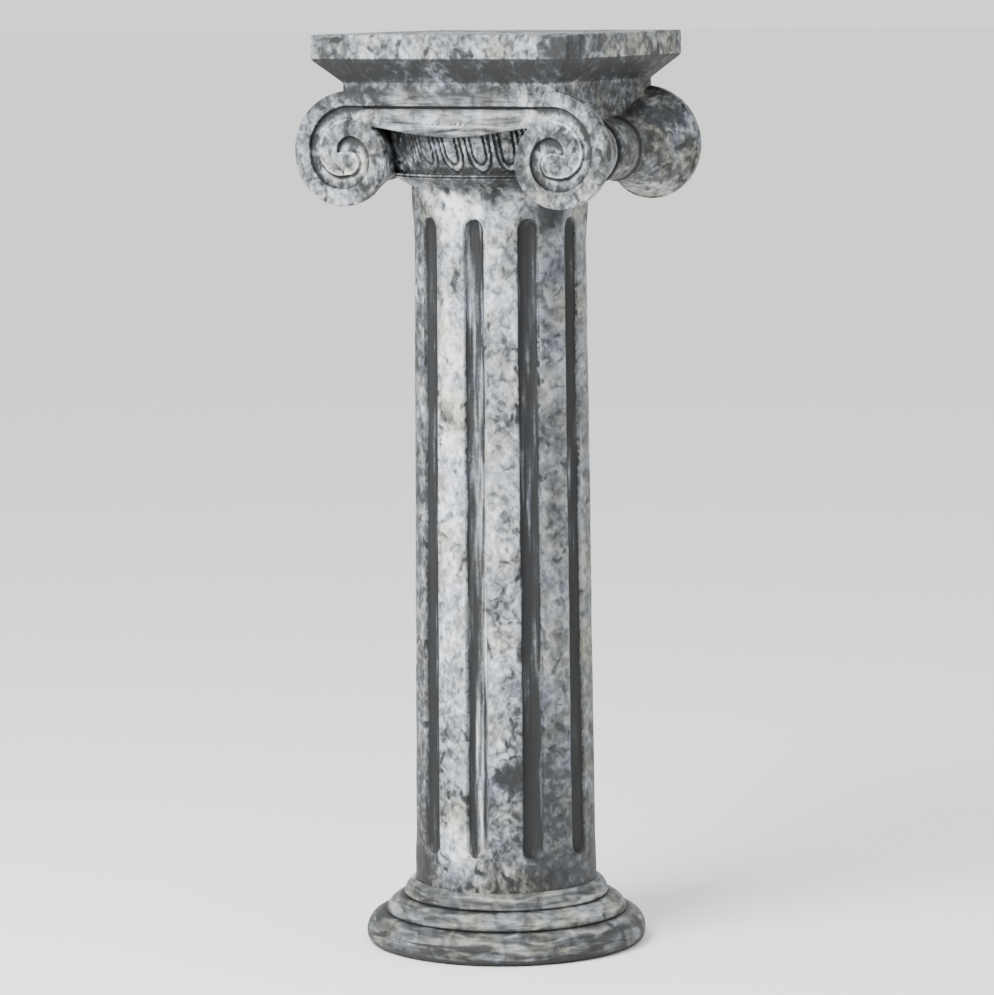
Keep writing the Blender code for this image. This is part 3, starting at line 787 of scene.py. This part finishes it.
for place_angle, height, reach, strength in shaft_daubs:
    turned_by = math.radians(place_angle)
    gap = np.sqrt((x - 0.097 * math.sin(turned_by)) ** 2 + (y + 0.097 * math.cos(turned_by)) ** 2
                  + (z - height) ** 2)
    light += strength * near(gap, 0, reach) * on_shaft
for place_x, height, reach, strength in front_daubs:
    gap = np.hypot(x - place_x, z - height)
    light += strength * near(gap, 0, reach) * (y < -0.12)

masks = {
    "painted_recess_shade": painted_recess_shade,
    "light": light,
    # An olive tint that also darkens the right and back and the base; the darkening there is painted
    # shade.
    "olive_and_shade": np.maximum(smoothstep((0.12 - z) / 0.06), 0.8 * smoothstep((x + y - 0.02) / 0.12)),
    "even": smoothstep((x + y + 0.03) / 0.07) * on_shaft,
    "fluted": 0.32 * smoothstep(beside / 0.3) + 0.68 * smoothstep((in_flute - 0.30) / 0.25),
    "ringed": np.where(z < SHAFT_FOOT_Z - 0.0001, 1.0, straight_part),
}
for name, values in masks.items():
    store = casting.attributes.new(name, 'FLOAT', 'POINT')
    store.data.foreach_set("value", values.astype(np.float32))
    print(name, "mean", round(float(values.mean()), 3))

# %% [markdown]
# ## Hand-painted plaster
# Acrylic paint on cast plaster has an IOR near 1.5 and dries to a soft satin, with roughness around
# 0.5. Layers of noise stand for the sponge, the daubs of a stiff brush and its curls, with dark spots
# where paint is missing and slanting wisps where it was wiped. Their sum is how much light paint lies on
# a point, and the masks add painted shade and painted highlights to it. A colour ramp turns it into
# charcoal, slate, grey and off-white. In the flutes the brush was pulled down, and on the base round the
# rings, so the noise is stretched that way. The undercoat spills a little past each flute with a ragged
# edge, and the mask even lowers the contrast on the right of the shaft. The same sum drives the bump,
# because thick paint stands up from the surface.

# %% Colours and the node helper
def linear(hex_code):
    """sRGB hex to linear RGBA: the standard curve, (v + 0.055) / 1.055 to the power 2.4."""
    values = np.array([int(hex_code[i:i + 2], 16) for i in (1, 3, 5)]) / 255
    curve = np.where(values <= 0.04045, values / 12.92, ((values + 0.055) / 1.055) ** 2.4)
    return (*curve.tolist(), 1.0)


def add_node(tree, kind, inputs=None, **settings):
    """Add a node with its settings, and give each named input a value or another node's output."""
    node = tree.nodes.new(kind)
    for name, value in settings.items():
        setattr(node, name, value)
    for key, value in (inputs or {}).items():
        if isinstance(value, bpy.types.NodeSocket):
            tree.links.new(value, node.inputs[key])
        else:
            node.inputs[key].default_value = value
    return node


paint = bpy.data.materials.new("hand_painted_plaster")
paint.use_nodes = True
tree = paint.node_tree
tree.nodes.clear()


def weighted(start, terms):
    """start plus each output times its weight, as a chain of multiply-and-add nodes."""
    total = start
    for output, weight in terms:
        step = add_node(tree, "ShaderNodeMath", {0: output, 1: weight, 2: total}, operation='MULTIPLY_ADD')
        total = step.outputs[0]
    return total


# %% Brush directions
place = add_node(tree, "ShaderNodeTexCoord").outputs["Object"]
mask = {name: add_node(tree, "ShaderNodeAttribute", attribute_name=name).outputs["Fac"] for name in masks}
dabbed = add_node(tree, "ShaderNodeMapping", {"Vector": place, "Scale": (1, 0.62, 0.8)}).outputs[0]
dragged = add_node(tree, "ShaderNodeMapping", {"Vector": place, "Scale": (0.20, 0.20, 1.2)}).outputs[0]
pulled_down = add_node(tree, "ShaderNodeMapping", {"Vector": place, "Scale": (1, 1, 0.07)}).outputs[0]


def noise(vector, scale, detail, distortion):
    """Output of a noise texture; 1 / scale is the size of its clouds in metres."""
    return add_node(tree, "ShaderNodeTexNoise", {
        "Vector": vector, "Scale": scale, "Detail": detail, "Roughness": 0.5, "Distortion": distortion,
    }).outputs["Fac"]


def brushed(scale, detail, distortion):
    """The same noise dabbed and dragged round the rings, faded by the mask ringed."""
    layers = [noise(vector, scale, detail, distortion) for vector in (dabbed, dragged)]
    return add_node(tree, "ShaderNodeMix", {0: mask["ringed"], 2: layers[0], 3: layers[1]}).outputs[0]


# %% Layers of paint, from broad clouds to specks
# Clouds of 50 mm, daubs of 18 mm, curls of 7 mm, specks of 3 mm and spots of 16 mm. In the flutes, streaks
# 6 mm wide and patches 17 mm wide.
sponge = brushed(20, 2, 0.4)
daub = brushed(54, 2.5, 0.6)
curl = brushed(150, 1.5, 0.7)
speck = noise(place, 330, 1, 0)
spot = add_node(tree, "ShaderNodeMapRange", {
    "Value": brushed(62, 1.5, 0.8), "From Min": 0.60, "From Max": 0.70,
}).outputs["Result"]
streak = noise(pulled_down, 170, 2, 0.1)
patch = noise(pulled_down, 60, 1, 0.3)
wisp = add_node(tree, "ShaderNodeTexWave", {
    "Vector": dabbed, "Scale": 17, "Distortion": 13.0,
    "Detail": 2, "Detail Scale": 1.9, "Detail Roughness": 0.5,
}, bands_direction='DIAGONAL').outputs["Fac"]
texture = weighted(-1.20, ((sponge, 0.66), (daub, 0.66), (curl, 0.85), (wisp, 0.12), (speck, 0.20),
                           (spot, -0.34)))
contrast = weighted(1.0, ((mask["even"], -0.38),))
# The recess mask's painted shade darkens the paint on the lands.
on_lands = weighted(0.455, ((texture, contrast), (mask["light"], 1.0), (mask["painted_recess_shade"], -0.66)))
in_flutes = weighted(-1.98, ((streak, 2.10), (patch, 1.40), (curl, 0.36), (speck, 0.16),
                             (mask["light"], 0.9)))
ragged_edge = weighted(-1.86, ((mask["fluted"], 1.60), (daub, 0.90), (curl, 2.00)))
amount = add_node(tree, "ShaderNodeMix", {0: ragged_edge, 2: on_lands, 3: in_flutes}).outputs[0]
ramp = add_node(tree, "ShaderNodeValToRGB", {"Fac": amount})
stops = ((0.04, "#121416"), (0.24, "#2c2f33"), (0.40, "#575b60"), (0.55, "#83878c"),
         (0.72, "#adb0b4"), (0.92, "#e0e1e5"))
while len(ramp.color_ramp.elements) < len(stops):
    ramp.color_ramp.elements.new(0.5)
for element, (position, colour) in zip(ramp.color_ramp.elements, stops):
    element.position = position
    element.color = linear(colour)

# %% Olive and blue greys, sheen and bump
# A Mix node takes numbers at its inputs 2 and 3, and colours at 6 and 7 with the result at output 2.
tint = noise(place, 26, 2, 0)
# The olive multiply also darkens: on the right, the back and the base this is painted shade.
tint_share = weighted(-1.55, ((tint, 3.4), (mask["olive_and_shade"], 0.55)))
olive = add_node(tree, "ShaderNodeMix", {0: tint_share, 6: ramp.outputs["Color"], 7: linear("#ded9c2")},
                 data_type='RGBA', blend_type='MULTIPLY')
cool_share = weighted(1.45, ((tint, -2.6),))
cool = add_node(tree, "ShaderNodeMix", {0: cool_share, 6: olive.outputs[2], 7: linear("#dbe4f0")},
                data_type='RGBA', blend_type='MULTIPLY')
sheen = weighted(0.60, ((amount, -0.14), (speck, 0.08)))
relief = add_node(tree, "ShaderNodeBump", {"Height": amount, "Strength": 0.5, "Distance": 0.0012})
surface = add_node(tree, "ShaderNodeBsdfPrincipled", {
    "Base Color": cool.outputs[2],
    "Roughness": sheen,
    "IOR": 1.5,
    "Normal": relief.outputs["Normal"],
})
add_node(tree, "ShaderNodeOutputMaterial", {"Surface": surface.outputs["BSDF"]})
casting.materials.clear()
casting.materials.append(paint)
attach(column, "root")
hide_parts("ionic_column")

# %% [markdown]
# ## Floor, light and camera
# The photograph is a cut-out on white, so the floor is a plain pale sheet. A large soft light in front,
# left of the camera, shapes the flutes, a weaker one fills the right, and a pale sky keeps the shadows
# open. The camera looks from 25 degrees right of the front, a little above the column's top.

# %% Floor
FLOOR_HALF = 60.0
FLOOR_GAP = 0.0005           # keeps the floor and the column's foot from lying in one plane
floor_corners = [(FLOOR_HALF * i, FLOOR_HALF * j, 0) for i, j in ((-1, -1), (1, -1), (1, 1), (-1, 1))]
floor = new_piece("floor", floor_corners, [(0, 1, 2, 3)])
floor.location.z = -FLOOR_GAP
floor_paint = bpy.data.materials.new("matt_white_board")
floor_paint.use_nodes = True
board = floor_paint.node_tree.nodes["Principled BSDF"]
board.inputs["Base Color"].default_value = linear("#f6f6f5")
board.inputs["Roughness"].default_value = 0.8
floor.data.materials.append(floor_paint)

# %% Lights
def soft_light(name, azimuth, elevation, distance, size, power):
    """A square area light at an azimuth from the front, aimed at the middle of the column."""
    data = bpy.data.lights.new(name, 'AREA')
    data.size = size
    data.energy = power
    light = bpy.data.objects.new(name, data)
    bpy.context.scene.collection.objects.link(light)
    a, e = math.radians(azimuth), math.radians(elevation)
    offset = np.array([math.sin(a) * math.cos(e), -math.cos(a) * math.cos(e), math.sin(e)]) * distance
    light.location = offset + np.array([0, 0, 0.55])
    light.rotation_euler = (math.pi / 2 - e, 0, a)
    return light


soft_light("key", -18, 43, 3.0, 1.6, 200)
soft_light("fill", 80, 20, 3.4, 2.4, 18)
sky = bpy.data.worlds.new("pale_sky")
sky.use_nodes = True
sky.node_tree.nodes["Background"].inputs["Color"].default_value = (1, 1, 1, 1)
sky.node_tree.nodes["Background"].inputs["Strength"].default_value = 1.35
bpy.context.scene.world = sky

# %% Camera
PHI, PITCH, YAW, ROLL = (math.radians(v) for v in (25.45, 6.861, -0.075, 0.536))
DISTANCE, EYE_HEIGHT, FOCAL_PIXELS, FRAME_WIDTH = 4.85, 1.075, 4442, 994


def camera_axes():
    """Columns of the camera's matrix: level axes at PHI, then yaw, pitch and roll about each in turn."""
    back = np.array([math.sin(PHI), -math.cos(PHI), 0])
    right = np.array([math.cos(PHI), math.sin(PHI), 0])
    up = np.array([0, 0, 1.0])
    ahead = -math.cos(YAW) * back + math.sin(YAW) * right
    across = math.cos(YAW) * right + math.sin(YAW) * back
    forward = math.cos(PITCH) * ahead - math.sin(PITCH) * up
    above = math.cos(PITCH) * up + math.sin(PITCH) * ahead
    x_axis = across * math.cos(ROLL) - above * math.sin(ROLL)
    y_axis = across * math.sin(ROLL) + above * math.cos(ROLL)
    return x_axis, y_axis, -forward, back * DISTANCE + up * EYE_HEIGHT


camera = bpy.data.objects.new("camera", bpy.data.cameras.new("camera"))
camera.data.sensor_width = 36
camera.data.lens = FOCAL_PIXELS * 36 / FRAME_WIDTH
bpy.context.scene.collection.objects.link(camera)
bpy.context.scene.camera = camera
placed = np.eye(4)
placed[:3] = np.stack(camera_axes(), axis=-1)
camera.matrix_world = Matrix(placed.tolist())
print("camera at", [round(v, 3) for v in camera.location])
